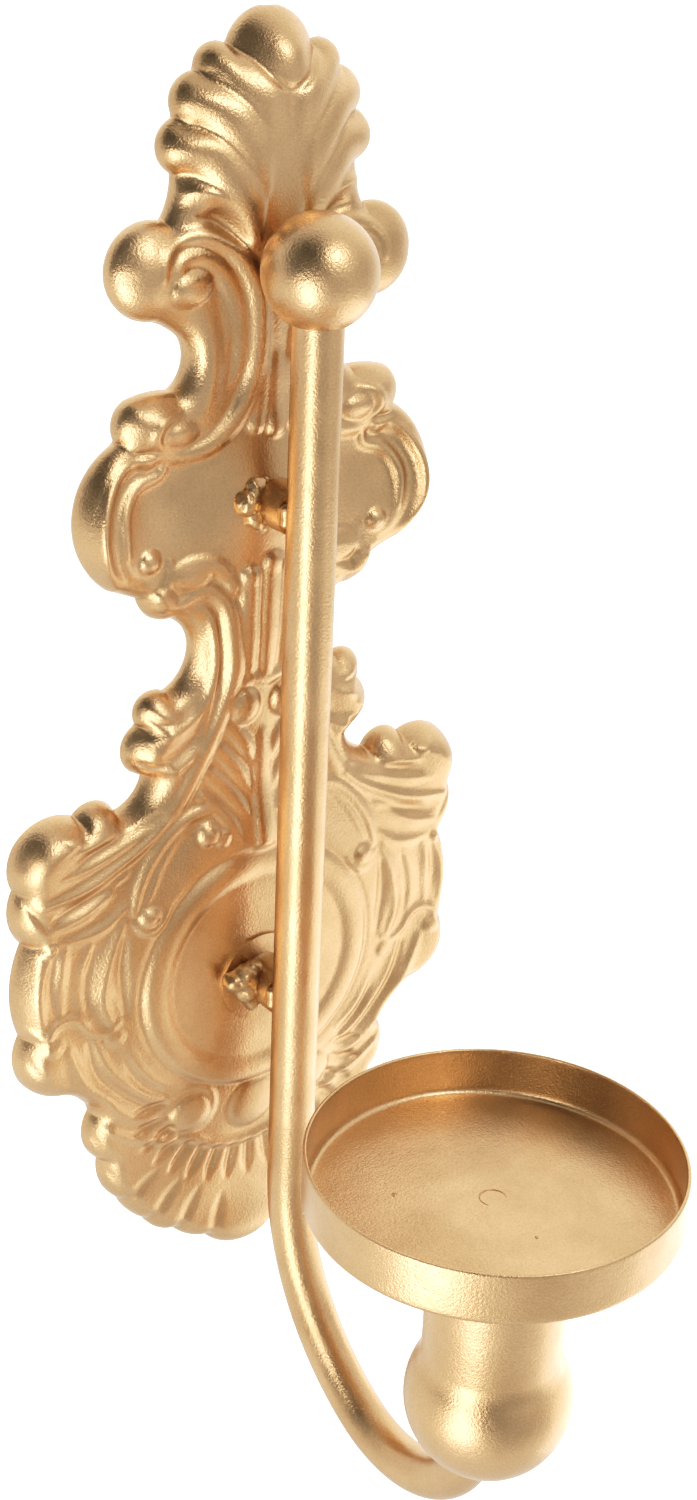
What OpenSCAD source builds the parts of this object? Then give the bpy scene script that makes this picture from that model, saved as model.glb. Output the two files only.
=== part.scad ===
// Wall sconce candle holder: a pressed ornamental backplate carries a bent tube arm,
// and the arm carries a hollow bulb with a shallow pan for a pillar candle.
//
// Frame: +Z is up, +Y points into the wall and the wall is the plane Y = 0.
// The origin is the centre of the hanging hole, on the wall.

/* [Backplate] */
// Thickness of the pressed sheet
sheet_t = 1; // [0.8:0.1:1.4]
// Height of the plain sheet in front of the wall
sheet_h = 5.2; // [4:0.1:6.5]
// Width of the rolled border
border_w = 4; // [2.5:0.1:5]
// Inner radius of the round medallion's ring
ring_r = 22.3; // [20:0.1:24]
// Height of the medallion's floor in front of the wall
floor_h = 9.3; // [8:0.1:10]

/* [Hanger] */
// Radius of the hanging hole
hang_r = 3; // [2:0.1:4]
// Length of the strap that has the hanging hole
strap_len = 56; // [50:1:58]
// Height of the strap
strap_w = 12; // [10:0.5:14]
// Thickness of the strap
strap_t = 1.2; // [1:0.1:2]

/* [Arm] */
// Outer radius of the arm's tube
tube_r = 5; // [4.5:0.1:5.5]
// Wall of the arm's tube
tube_wall = 1; // [0.8:0.1:1.5]
// Distance from the wall to the middle of the upright tube
reach = 23.05; // [22:0.05:25]
// Radius of the first, wide bend
bend_1_r = 50; // [48:0.5:52]
// Angle of the first bend
bend_1_a = 66; // [60:1:70]
// Radius of the second, tight bend
bend_2_r = 27; // [26:0.5:28]
// Angle of the tube's hidden end inside the bulb's seat, counted from straight down
bend_end_a = 178; // [176:1:180]
// Radius of the ball on top of the tube
ball_r = 11.06; // [9:0.01:12]

/* [Bulb and cup] */
// Radius of the round bulb under the cup
bulb_r = 17; // [16:0.1:18]
// Wall of the bulb and its neck
bulb_wall = 1.2; // [0.8:0.1:1.6]
// Outer radius of the neck
neck_r = 14; // [12:0.1:14.5]
// Outer radius of the cup
cup_r = 36.95; // [34:0.05:45]
// Outer height of the cup
cup_h = 11.2; // [9:0.1:20]
// Sheet thickness of the cup
cup_t = 0.8; // [0.6:0.1:1.2]
// Distance from the wall to the cup's axis
cup_reach = 89.8; // [85:0.1:95]
// How far the bulb sits in front of the cup's axis
bulb_ahead = 3.2; // [0:0.1:4]

/* [Hidden] */
$fn = 96;
gold = "#C9A15F";
dark_gold = "#8A6430";

// Heights are written from a datum near the plate's lowest scroll; the last step of each
// module lowers it by hang_z, which puts the hanging hole at the origin.
hang_z = 217;
top_z = 262.2;
bottom_z = -12;
upper_post_z = 170;
lower_post_z = 62.4;
medallion_z = 64.4;
bend_z = 18.3;
ball_z = 216.8;
socket_z = 212;
cup_rim_z = 63.1;
bulb_z = 7.6;
disc_r = 10.3;
disc_t = 1.2;
post_back_h = 8;
disc_front_h = 10.6;
plug_r = 2.25;
plug_x = 5.7;
plug_y = -90.6;
plug_recess = 0.1;
post_front_h = reach - tube_r;
bulb_y = -cup_reach - bulb_ahead;
cup_floor_z = cup_rim_z - cup_h;
bulb_cut_z = bulb_z + sqrt(bulb_r * bulb_r - pow(neck_r + 0.5, 2));
neck_seat = 1.8;
bulb_weld_a = 166;
bead_r = 1.9;
bead_from_a = 150;
bead_to_a = 240;
bead_step_a = 30;

// ---- the backplate's outline: [notch, crest], each crest joined to the next notch ----
// Right half from the top down. An arc runs through each notch, its crest and the next notch.
EDGE = [
    [[2, 262.0], [6.2, 259.8]],        // egg-shaped knob
    [[8.8, 255.4], [12.6, 256.0]],     // palmette lobes
    [[15.6, 251.3], [19.4, 249.4]],
    [[19.0, 243.0], [22.4, 239.3]],
    [[19.4, 233.6], [22.0, 230.2]],
    [[21.8, 226.6], [33.8, 217.5]],    // upper volute
    [[25.0, 206.8], [21.5, 205.3]],
    [[18.6, 203.0], [17.6, 198.5]],    // neck
    [[20.5, 193.8], [30.8, 191.6]],
    [[32.0, 183.6], [40.3, 170.0]],    // middle C-scroll
    [[33.8, 155.8], [30.5, 154.2]],
    [[27.3, 152.8], [24.8, 148.6]],
    [[20.5, 147.6], [14.8, 139.5]],    // waist
    [[20.5, 130.4], [25.0, 128.4]],
    [[25.3, 124.9], [28.0, 120.0]],
    [[24.6, 113.4], [26.8, 109.0]],
    [[31.0, 106.6], [35.6, 109.8]],    // shoulder tip
    [[39.5, 107.6], [50.8, 105.8]],
    [[54.4, 93.3], [55.8, 88.4]],
    [[52.0, 81.8], [56.4, 71.0]],      // pleated side
    [[53.2, 59.6], [54.0, 50.0]],
    [[47.5, 43.8], [43.8, 42.6]],
    [[40.2, 39.6], [38.7, 37.8]],
    [[38.3, 36.0], [39.8, 30.0]],      // foot lobes
    [[36.2, 23.2], [35.8, 17.5]],
    [[31.5, 11.0], [28.9, 6.6]],
    [[25.0, 3.2], [21.8, -0.6]],
    [[18.0, -1.8], [14.2, -5.4]],
    [[9.5, -6.9], [5.0, -11.0]]];
LAST = [2, -11.9];
arc_steps = 3;
half_cols = 14;

// Heights on the centre line that the rows of the sheet start from, against outline index
SPINE = [[0, 262.2], [1, 254], [2, 249], [5, 226], [8, 194], [12, 149], [13, 131], [15, 104],
         [16, 86], [17, 74], [20, 60], [22, 48], [26, 2], [29, -12]];

function circle_through(a, b, c) =
    let (d = 2 * (a.x * (b.y - c.y) + b.x * (c.y - a.y) + c.x * (a.y - b.y)),
         qa = a * a, qb = b * b, qc = c * c)
    [(qa * (b.y - c.y) + qb * (c.y - a.y) + qc * (a.y - b.y)) / d,
     (qa * (c.x - b.x) + qb * (a.x - c.x) + qc * (b.x - a.x)) / d];
function signed(a) = a > 180 ? a - 360 : a < -180 ? a + 360 : a;
function arc_point(a, b, c, u) =
    let (m = circle_through(a, b, c),
         r = norm(a - m),
         a0 = atan2(a.y - m.y, a.x - m.x),
         a1 = atan2(b.y - m.y, b.x - m.x),
         a2 = atan2(c.y - m.y, c.x - m.x),
         t = a0 + u * (signed(a1 - a0) + signed(a2 - a1)))
    [m.x + r * cos(t), m.y + r * sin(t)];
function next_notch(i) = i + 1 < len(EDGE) ? EDGE[i + 1][0] : LAST;
OUTLINE = concat([for (i = [0:len(EDGE) - 1], k = [0:arc_steps - 1])
                     arc_point(EDGE[i][0], EDGE[i][1], next_notch(i), k / arc_steps)], [LAST]);
rows = len(OUTLINE);
function spine_z(i) = lookup(i / arc_steps, SPINE);

// ---- the pressed relief ----
// Raised ribs, right half: [start, pull point, end, half width, height above the sheet]
RIBS = [
    [[15, 254], [6, 252], [1.5, 240], 2.2, 2.6],      // palmette
    [[20, 247], [9, 246], [3, 233], 2.2, 2.6],
    [[22, 239], [10, 238], [4, 225], 2.2, 2.6],
    [[20, 231], [11, 231], [6, 219], 2.2, 2.4],
    [[31, 221], [16, 228], [6, 211], 2.4, 3],         // upper volute
    [[6, 211], [2, 198], [11, 187], 2.4, 3],
    [[11, 187], [16, 181], [27, 182], 2.4, 3],
    [[2.5, 196], [2, 190], [2.5, 184], 1.6, 1.8],     // drop leaves
    [[28, 181], [37, 180], [37, 170], 2.2, 3.2],      // middle C-scroll
    [[37, 170], [37, 161], [28, 160], 2.2, 3.2],
    [[24, 152], [8, 158], [8, 140], 2.2, 3],          // S-scroll into the acanthus
    [[8, 140], [8, 122], [24, 108], 2.2, 3],
    [[24, 108], [36, 102], [53, 99], 2.2, 3],
    [[11, 124], [16, 108], [34, 98], 1.8, 3],
    [[34, 98], [42, 94], [53, 90], 1.8, 3],
    [[1.6, 157], [1.4, 144], [1.6, 132], 1.4, 2],     // upright flutes
    [[5, 156], [4.6, 144], [5, 132], 1.4, 2],
    [[11, 116], [7, 111], [2, 103], 1.5, 2],
    [[16, 103], [28, 102], [30, 85], 2, 3],
    [[34, 82], [31, 72], [33, 60], 1.7, 2.4],         // side pleats
    [[40, 83], [37, 72], [38, 60], 1.7, 2.4],
    [[46, 82], [43, 72], [44, 60], 1.7, 2.4],
    [[51, 80], [49, 72], [50, 62], 1.7, 2.4],
    [[36, 54], [33, 44], [24, 35], 1.8, 2.4],         // second tier
    [[42, 54], [39, 42], [29, 31], 1.8, 2.4],
    [[21, 24], [10, 17], [0, 17], 2, 2.6]];
// Round bosses, right half: [middle, radius, height above the sheet]
BOSSES = [
    [[0, 255.5], 8, 5.4], [[28, 217], 7, 3.4], [[18, 213], 5, 3.2], [[29, 189], 4.5, 3.2],
    [[27.2, 180.8], 3, 3.8], [[27.1, 161.5], 3, 3.8], [[0, 170], 10, 3], [[21, 152.5], 4, 3],
    [[23, 126], 3.4, 2.4], [[25, 119], 3.4, 2.4], [[12, 99], 4.5, 3.4], [[27.7, 83.5], 3, 3.4],
    [[48, 101], 6, 3], [[49, 56], 5.5, 3.2], [[36, 58], 4, 3], [[15, 28], 5, 3.2]];

function bend_point(r, u) = (1 - u) * (1 - u) * r[0] + 2 * u * (1 - u) * r[1] + u * u * r[2];
function rib_gap(p, r) = min([for (u = [0:0.125:1]) norm(p - bend_point(r, u))]);
function bump(g) = g >= 1 ? 0 : pow(cos(90 * g), 1.2);
function rib_lift(p) = max([for (r = RIBS) r[4] * bump(rib_gap(p, r) / (r[3] * 1.5))]);
function boss_lift(p) = max([for (b = BOSSES) b[2] * bump(norm(p - b[0]) / b[1])]);
// Short radial flutes of the shell at the foot
function shell_lift(p) =
    let (q = p - [0, 34], r = norm(q), a = atan2(q.x, -q.y))
    r > 24 && r < 44 && a < 58 ? 1.6 * pow(abs(cos(a * 20)), 1.5) * sin(180 * (r - 24) / 20) : 0;
// The medallion: an upstanding ring round a slightly domed floor
function medallion_h(r) =
    r < ring_r - 1 ? floor_h + 1.3 * (1 - r / ring_r) :
    r < ring_r + 6 ? floor_h + 1.2 * sin(180 * (r - ring_r + 1) / 7) : 0;
function roll(d) = d >= border_w ? 1 : sqrt(1 - pow(1 - max(d, 0) / border_w, 2));
function relief(p) =
    let (free = sheet_h + max(rib_lift(p), boss_lift(p), shell_lift(p)))
    max(norm(p - [0, medallion_z]) < ring_r + 1 ? 0 : free, medallion_h(norm(p - [0, medallion_z])));
function sheet_front(p, d) = sheet_t + (relief(p) - sheet_t) * roll(d);

// Spacing of the columns: finer towards the border
function col(j) = 0.55 * j / half_cols + 0.45 * sin(90 * j / half_cols);
function row_point(i, s) = [OUTLINE[i].x * s, spine_z(i) + (OUTLINE[i].y - spine_z(i)) * s];
function border_gap(i, s) =
    min((1 - s) * norm(OUTLINE[i] - [0, spine_z(i)]), top_z - row_point(i, s).y + 0.01,
        i == rows - 1 ? 0 : row_point(i, s).y - bottom_z);
// One half row of [x, z, front height], from the centre line to the border
HALF = [for (i = [0:rows - 1])
           [for (j = [0:half_cols])
               let (s = col(j), p = row_point(i, s))
               [p.x, p.y, sheet_front(p, i == 0 ? 0 : border_gap(i, s))]]];
function grid_point(i, j) = j < 0 ? [-HALF[i][-j].x, HALF[i][-j].y, HALF[i][-j].z] : HALF[i][j];

cols = 2 * half_cols + 1;
module pressed_sheet() {
    front = [for (i = [0:rows - 1], j = [-half_cols:half_cols])
                let (g = grid_point(i, j)) [g.x, -g.z, g.y]];
    back = [for (p = front) [p.x, p.y + sheet_t, p.z]];
    n = len(front);
    faces = concat(
        [for (i = [0:rows - 2], j = [0:cols - 2], k = [0, 1])
            let (a = i * cols + j, b = a + 1, c = a + cols + 1, d = a + cols)
            k == 0 ? [a, b, c] : [a, c, d]],
        [for (i = [0:rows - 2], j = [0:cols - 2], k = [0, 1])
            let (a = n + i * cols + j, b = a + 1, c = a + cols + 1, d = a + cols)
            k == 0 ? [a, c, b] : [a, d, c]],
        [for (j = [0:cols - 2], k = [0, 1])
            k == 0 ? [j, n + j, n + j + 1] : [j, n + j + 1, j + 1]],
        [for (j = [0:cols - 2], k = [0, 1])
            let (a = (rows - 1) * cols + j)
            k == 0 ? [a, n + a + 1, n + a] : [a, a + 1, n + a + 1]],
        [for (i = [0:rows - 2], k = [0, 1])
            let (a = i * cols, b = a + cols)
            k == 0 ? [a, b, n + b] : [a, n + b, n + a]],
        [for (i = [0:rows - 2], k = [0, 1])
            let (a = i * cols + cols - 1, b = a + cols)
            k == 0 ? [a, n + b, b] : [a, n + a, n + b]]);
    polyhedron(points = concat(front, back), faces = faces, convexity = 12);
}

// A round bar along Y from one height in front of the wall to another
module bar_y(r, from_h, to_h) {
    rotate([90, 0, 0]) translate([0, 0, from_h]) cylinder(r = r, h = to_h - from_h);
}
module drop() {
    translate([0, 0, -hang_z]) children();
}

module backplate() {
    color(gold) drop() pressed_sheet();
}
module centre_disc() {
    color(gold) drop() translate([0, 0, lower_post_z]) bar_y(disc_r, disc_front_h - disc_t, disc_front_h);
}
module hanger_strap() {
    color(dark_gold) difference() {
        translate([-strap_len / 2, -strap_t, -strap_w / 2]) cube([strap_len, strap_t, strap_w]);
        bar_y(hang_r, -1, strap_t + 1);
    }
}
module hanger_welds() {
    color(dark_gold) for (side = [-1, 1])
        translate([side * (strap_len / 2 + 0.6), 0, 0]) intersection() {
            sphere(r = 2.2);
            translate([-3, -3, -3]) cube([6, 3, 6]);
        }
}
module upper_post() {
    color(gold) drop() translate([0, 0, upper_post_z]) difference() {
        bar_y(tube_r, post_back_h, post_front_h);
        bar_y(tube_r - tube_wall, post_back_h - 1, post_front_h + 1);
    }
}
module lower_post() {
    color(gold) drop() translate([0, 0, lower_post_z]) difference() {
        bar_y(tube_r, disc_front_h, post_front_h);
        bar_y(tube_r - tube_wall, disc_front_h - 1, post_front_h + 1);
    }
}
// A run of weld drops round part of a post's foot
module post_bead(post_z, foot_h) {
    drop() translate([0, -foot_h, post_z]) difference() {
        for (a = [bead_from_a:bead_step_a:bead_to_a])
            translate([(tube_r + 0.6) * cos(a), 0, (tube_r + 0.6) * sin(a)]) sphere(r = bead_r);
        translate([-12, 0, -12]) cube([24, 12, 24]);
        bar_y(tube_r, -1, bead_r + 1);
    }
}
module upper_plate_weld() {
    color(dark_gold) post_bead(upper_post_z, post_back_h);
}
module lower_plate_weld() {
    color(dark_gold) post_bead(lower_post_z, disc_front_h);
}
// Weld beads where a post's flat front meets the round tube
module arm_bead(post_z) {
    drop() translate([0, 0, post_z]) difference() {
        for (side = [-1, 1], k = [-1:1])
            translate([side * 3.4, -post_front_h - 0.9, k * 1.7]) sphere(r = 1.5);
        bar_y(tube_r + 0.01, 0, post_front_h);
        translate([0, -reach, -10]) cylinder(r = tube_r, h = 20);
    }
}
module upper_arm_weld() {
    color(dark_gold) arm_bead(upper_post_z);
}
module lower_arm_weld() {
    color(dark_gold) arm_bead(lower_post_z);
}
// The wall of a round tube, as a flat ring; with no wall it is a full disc
module ring(r, wall) {
    difference() {
        circle(r = r);
        if (wall > 0) circle(r = r - wall);
    }
}
module bend(r, wall, pivot_y, pivot_z, bend_r, from_a, to_a) {
    translate([0, pivot_y, pivot_z]) rotate([-90, 0, 90]) rotate([0, 0, from_a])
        rotate_extrude(angle = to_a - from_a) translate([bend_r, 0]) ring(r, wall);
}
// The arm from its top end down, round both bends and up into the bulb
module arm_run(r, wall, top) {
    pivot_1_y = -reach - bend_1_r;
    pivot_2_y = pivot_1_y + (bend_1_r - bend_2_r) * cos(bend_1_a);
    pivot_2_z = bend_z - (bend_1_r - bend_2_r) * sin(bend_1_a);
    translate([0, -reach, bend_z]) linear_extrude(top - bend_z) ring(r, wall);
    bend(r, wall, pivot_1_y, bend_z, bend_1_r, 0, bend_1_a);
    bend(r, wall, pivot_2_y, pivot_2_z, bend_2_r, bend_1_a, bend_end_a);
}
module arm_tube() {
    color(gold) drop() difference() {
        arm_run(tube_r, tube_wall, socket_z);
        translate([0, bulb_y, bulb_z]) sphere(r = bulb_r);
    }
}
module ball_finial() {
    color(gold) drop() difference() {
        translate([0, -reach, ball_z]) sphere(r = ball_r);
        translate([0, -reach, ball_z - ball_r - 1]) cylinder(r = tube_r, h = socket_z - ball_z + ball_r + 1);
    }
}
module bulb() {
    color(gold) drop() translate([0, bulb_y, 0]) difference() {
        translate([0, 0, bulb_z]) sphere(r = bulb_r);
        translate([0, 0, bulb_z]) sphere(r = bulb_r - bulb_wall);
        translate([0, 0, bulb_cut_z]) cylinder(r = bulb_r, h = bulb_r);
        translate([0, 0, bulb_cut_z - neck_seat]) cylinder(r = neck_r, h = neck_seat + 1);
    }
}
module bulb_neck() {
    color(gold) drop() translate([0, bulb_y, bulb_cut_z - neck_seat]) difference() {
        cylinder(r = neck_r, h = cup_floor_z - bulb_cut_z + neck_seat);
        translate([0, 0, -1])
            cylinder(r = neck_r - bulb_wall, h = cup_floor_z - bulb_cut_z + neck_seat - bulb_wall + 1);
    }
}
module arm_bulb_weld() {
    end_y = -reach - bend_1_r + (bend_1_r - bend_2_r) * cos(bend_1_a) + bend_2_r * cos(bulb_weld_a);
    end_z = bend_z - (bend_1_r - bend_2_r) * sin(bend_1_a) - bend_2_r * sin(bulb_weld_a);
    color(dark_gold) drop() difference() {
        translate([0, end_y, end_z]) rotate([bulb_weld_a - 180, 0, 0])
            rotate_extrude() translate([tube_r, 0]) circle(r = 1.1);
        translate([0, bulb_y, bulb_z]) sphere(r = bulb_r);
        arm_run(tube_r, 0, bend_z + 1);
    }
}
module candle_cup() {
    color(gold) drop() difference() {
        translate([0, -cup_reach, cup_floor_z]) rotate_extrude() union() {
            square([cup_r - cup_t, cup_t]);
            translate([cup_r - cup_t, cup_t]) intersection() {
                circle(r = cup_t);
                translate([0, -cup_t]) square(cup_t);
            }
            translate([cup_r - cup_t, cup_t]) square([cup_t, cup_h - cup_t]);
        }
        translate([plug_x, plug_y, cup_floor_z - 1]) cylinder(r = plug_r, h = cup_t + 2);
    }
}
module cup_plug_weld() {
    color(dark_gold) drop() translate([plug_x, plug_y, cup_floor_z])
        cylinder(r = plug_r, h = cup_t - plug_recess);
}

backplate();
centre_disc();
hanger_strap();
hanger_welds();
upper_post();
lower_post();
upper_plate_weld();
lower_plate_weld();
upper_arm_weld();
lower_arm_weld();
arm_tube();
ball_finial();
bulb();
bulb_neck();
arm_bulb_weld();
candle_cup();
cup_plug_weld();
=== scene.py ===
"""Looks of the wall sconce candle holder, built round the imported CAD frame.

The plate is drawn in millimetres, and its hanging hole is HANG_Z above the drawing's zero, as in the CAD
source. Every other piece takes its place and its outer size from the CAD nodes' boxes.
"""

import math

import bmesh
import bpy
import numpy as np
from mathutils import Matrix, Vector, geometry, noise


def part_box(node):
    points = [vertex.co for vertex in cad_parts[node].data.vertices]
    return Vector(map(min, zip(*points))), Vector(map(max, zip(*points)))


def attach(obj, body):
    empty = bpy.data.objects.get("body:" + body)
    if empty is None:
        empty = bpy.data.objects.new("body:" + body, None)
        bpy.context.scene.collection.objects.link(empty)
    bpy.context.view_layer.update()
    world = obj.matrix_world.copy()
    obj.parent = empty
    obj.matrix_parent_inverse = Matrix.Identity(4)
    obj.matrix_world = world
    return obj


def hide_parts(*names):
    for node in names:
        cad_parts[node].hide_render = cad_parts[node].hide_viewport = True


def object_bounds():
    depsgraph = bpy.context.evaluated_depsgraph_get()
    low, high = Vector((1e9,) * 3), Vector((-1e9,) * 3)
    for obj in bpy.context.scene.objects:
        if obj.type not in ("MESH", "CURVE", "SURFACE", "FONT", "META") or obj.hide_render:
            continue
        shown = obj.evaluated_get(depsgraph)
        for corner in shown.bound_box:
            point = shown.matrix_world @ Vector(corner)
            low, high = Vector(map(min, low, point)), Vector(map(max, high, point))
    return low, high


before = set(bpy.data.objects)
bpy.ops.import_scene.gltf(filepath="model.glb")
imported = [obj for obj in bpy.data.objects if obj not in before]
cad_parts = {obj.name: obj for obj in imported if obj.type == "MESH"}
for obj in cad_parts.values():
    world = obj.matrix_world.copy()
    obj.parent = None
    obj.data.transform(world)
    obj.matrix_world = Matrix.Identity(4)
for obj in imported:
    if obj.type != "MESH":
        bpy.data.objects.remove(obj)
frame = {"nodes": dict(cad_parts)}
cad_low, cad_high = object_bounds()

MM = 0.001
HANG_Z = 217.0  # height of the hanging hole above the plate drawing's zero
PAINT_SLOT = "gold_paint"
WELD_SLOT = "weld_metal"


def node_box(node):
    """Lowest and highest corner of a CAD node in millimetres, with z on the plate drawing's datum."""
    low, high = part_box(node)
    rise = np.array((0.0, 0.0, HANG_Z))
    return np.array(low) / MM + rise, np.array(high) / MM + rise


def node_middle(node):
    low, high = node_box(node)
    return (low + high) / 2


def node_radius(node):
    """Half of a round node's width."""
    low, high = node_box(node)
    return (high[0] - low[0]) / 2


def link(thing):
    bpy.context.scene.collection.objects.link(thing)


# ---- camera

CAMERA_PLACE = Vector((-230.44, -340.81, 83.0)) * MM
CAMERA_TURN = math.radians(37.254)
CAMERA_PITCH = math.radians(24.441)
CAMERA_ROLL = math.radians(2.480)
CAMERA_LENS = 51.36


def make_camera():
    """A camera at the photograph's viewing angle: to the left of the plate and above its foot."""
    forward = Vector((
        math.sin(CAMERA_TURN) * math.cos(CAMERA_PITCH),
        math.cos(CAMERA_TURN) * math.cos(CAMERA_PITCH),
        -math.sin(CAMERA_PITCH),
    ))
    level_right = Vector((math.cos(CAMERA_TURN), -math.sin(CAMERA_TURN), 0.0))
    level_up = level_right.cross(forward)
    right = level_right * math.cos(CAMERA_ROLL) + level_up * math.sin(CAMERA_ROLL)
    up = level_up * math.cos(CAMERA_ROLL) - level_right * math.sin(CAMERA_ROLL)
    data = bpy.data.cameras.new("photo_camera")
    data.lens = CAMERA_LENS
    data.sensor_width = 36.0
    data.clip_start = 0.01
    data.clip_end = 50.0
    camera = bpy.data.objects.new("photo_camera", data)
    turn = Matrix((right, up, -forward)).transposed().to_4x4()
    camera.matrix_world = Matrix.Translation(CAMERA_PLACE) @ turn
    link(camera)
    bpy.context.scene.camera = camera


# ---- node helpers


class Nodes:
    """A short way to add and join shader nodes."""

    def __init__(self, tree):
        self.tree = tree
        tree.nodes.clear()

    def add(self, kind, **settings):
        node = self.tree.nodes.new(kind)
        for name, value in settings.items():
            setattr(node, name, value)
        return node

    def join(self, source, target):
        self.tree.links.new(source, target)

    def noise(self, vector, scale, detail=3.0, roughness=0.55):
        node = self.add("ShaderNodeTexNoise")
        node.inputs["Scale"].default_value = scale
        node.inputs["Detail"].default_value = detail
        node.inputs["Roughness"].default_value = roughness
        self.join(vector, node.inputs["Vector"])
        return node.outputs["Fac"]

    def ramp(self, value, stops):
        """A colour or grey ramp through (place, grey or colour) stops."""
        node = self.add("ShaderNodeValToRGB")
        elements = node.color_ramp.elements
        while len(elements) < len(stops):
            elements.new(0.5)
        for element, (place, shade) in zip(elements, stops):
            element.position = place
            colour = (shade,) * 3 if isinstance(shade, (int, float)) else shade
            element.color = (*colour, 1.0)
        self.join(value, node.inputs["Fac"])
        return node.outputs["Color"]

    def feed(self, socket, value):
        """Sets an input to a number or a colour, or joins an output to it."""
        if isinstance(value, (int, float)):
            socket.default_value = value
        elif isinstance(value, tuple):
            socket.default_value = (*value, 1.0)
        else:
            self.join(value, socket)

    def math(self, operation, a, b):
        node = self.add("ShaderNodeMath", operation=operation)
        self.feed(node.inputs[0], a)
        self.feed(node.inputs[1], b)
        return node.outputs[0]

    def mix(self, factor, a, b, blend="MIX"):
        node = self.add("ShaderNodeMix", data_type="RGBA", blend_type=blend)
        for slot, value in ((0, factor), (6, a), (7, b)):
            self.feed(node.inputs[slot], value)
        return node.outputs[2]


# ---- studio

# the tent's strength by height, from straight down at 0 to straight up at 1
TENT_HEIGHTS = ((0.0, 0.92), (0.22, 1.20), (0.36, 1.10), (0.55, 1.04), (0.75, 1.12), (0.95, 0.85))
# brighter and darker parts of the tent: degrees left of the plate's front, degrees up, degrees out to the
# core's edge and to the rim, added strength
TENT_PATCHES = (
    (67.0, 29.0, 27.0, 58.0, -0.95),
    (10.0, -15.0, 12.0, 38.0, -0.52),
    (-54.0, -8.0, 18.0, 46.0, -0.34),
    (-120.0, -20.0, 15.0, 60.0, 0.22),
    (-143.0, 38.0, 28.0, 62.0, 0.42),
)
# soft boxes and a reflector card: degrees left of the plate's front, distance and height from the hanging
# hole, width, height, radiance
SOFT_BOXES = (
    ("box_front", -3.0, 0.42, 0.36, 0.25, 0.22, 4.0),
    ("box_left", 62.0, 0.29, -0.205, 0.15, 0.36, 3.1),
    ("card_right", -72.0, 0.27, -0.385, 0.38, 0.40, 0.86),
)


def make_world():
    """A pale light tent with its darker and brighter parts."""
    world = bpy.data.worlds.new("light_tent")
    world.use_nodes = True
    bpy.context.scene.world = world
    n = Nodes(world.node_tree)
    direction = n.add("ShaderNodeTexCoord").outputs["Generated"]
    parts = n.add("ShaderNodeSeparateXYZ")
    n.join(direction, parts.inputs[0])
    height = n.math("MULTIPLY_ADD", parts.outputs["Z"], 0.5)
    height.node.inputs[2].default_value = 0.5
    total = n.ramp(height, TENT_HEIGHTS)
    for left, up, core, rim, strength in TENT_PATCHES:
        azimuth = math.radians(left)
        rise = math.radians(up)
        aim = (
            -math.sin(azimuth) * math.cos(rise),
            -math.cos(azimuth) * math.cos(rise),
            math.sin(rise),
        )
        dot = n.add("ShaderNodeVectorMath", operation="DOT_PRODUCT")
        n.join(direction, dot.inputs[0])
        dot.inputs[1].default_value = aim
        patch = n.add("ShaderNodeMapRange", interpolation_type="SMOOTHSTEP")
        patch.inputs["From Min"].default_value = math.cos(math.radians(rim))
        patch.inputs["From Max"].default_value = math.cos(math.radians(core))
        patch.inputs["To Max"].default_value = strength
        n.join(dot.outputs["Value"], patch.inputs["Value"])
        total = n.math("ADD", total, patch.outputs["Result"])
    total = n.math("MAXIMUM", total, 0.05)
    tent = n.add("ShaderNodeBackground")
    n.join(total, tent.inputs["Strength"])
    seen = n.add("ShaderNodeBackground")
    seen.inputs["Strength"].default_value = 1.0
    path = n.add("ShaderNodeLightPath")
    mix = n.add("ShaderNodeMixShader")
    n.join(path.outputs["Is Camera Ray"], mix.inputs[0])
    n.join(tent.outputs[0], mix.inputs[1])
    n.join(seen.outputs[0], mix.inputs[2])
    n.join(mix.outputs[0], n.add("ShaderNodeOutputWorld").inputs["Surface"])


def make_soft_boxes():
    """A soft box in front above the plate, a tall one to its left and a pale card low on its right."""
    aim = Vector((0.0, -0.04, 0.0))
    for name, left, away, height, wide, tall, radiance in SOFT_BOXES:
        data = bpy.data.lights.new(name, "AREA")
        data.shape = "RECTANGLE"
        data.size = wide
        data.size_y = tall
        data.energy = radiance * math.pi * wide * tall
        azimuth = math.radians(left)
        place = aim + Vector((-math.sin(azimuth) * away, -math.cos(azimuth) * away, height))
        target = aim + Vector((0.0, 0.0, 0.0 if height > 0 else height))
        light = bpy.data.objects.new(name, data)
        light.location = place
        light.rotation_euler = (target - place).to_track_quat("-Z", "Y").to_euler()
        light.visible_camera = False
        link(light)


def make_floor():
    """A wide pale floor, a little under the object's lowest point."""
    drop = 0.12
    half = 6.0
    level = cad_low.z - drop
    mesh = bpy.data.meshes.new("floor")
    corners = ((-half, -half), (half, -half), (half, half), (-half, half))
    mesh.from_pydata([(x, y, level) for x, y in corners], [], [(0, 1, 2, 3)])
    floor = bpy.data.objects.new("floor", mesh)
    link(floor)
    material = bpy.data.materials.new("pale_floor")
    material.use_nodes = True
    n = Nodes(material.node_tree)
    shader = n.add("ShaderNodeBsdfPrincipled")
    shader.inputs["Base Color"].default_value = (0.92, 0.92, 0.92, 1.0)
    shader.inputs["Roughness"].default_value = 0.9
    shader.inputs["Emission Color"].default_value = (1.0, 1.0, 1.0, 1.0)
    shader.inputs["Emission Strength"].default_value = 0.9
    n.join(shader.outputs[0], n.add("ShaderNodeOutputMaterial").inputs["Surface"])
    mesh.materials.append(material)
    floor.visible_glossy = False


# how the picture is developed, between black and white: scene brightness and the picture's
DEVELOP = ((0.05, 0.037), (0.1, 0.084), (0.2, 0.192), (0.3, 0.312), (0.5, 0.56), (0.75, 0.80))


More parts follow.
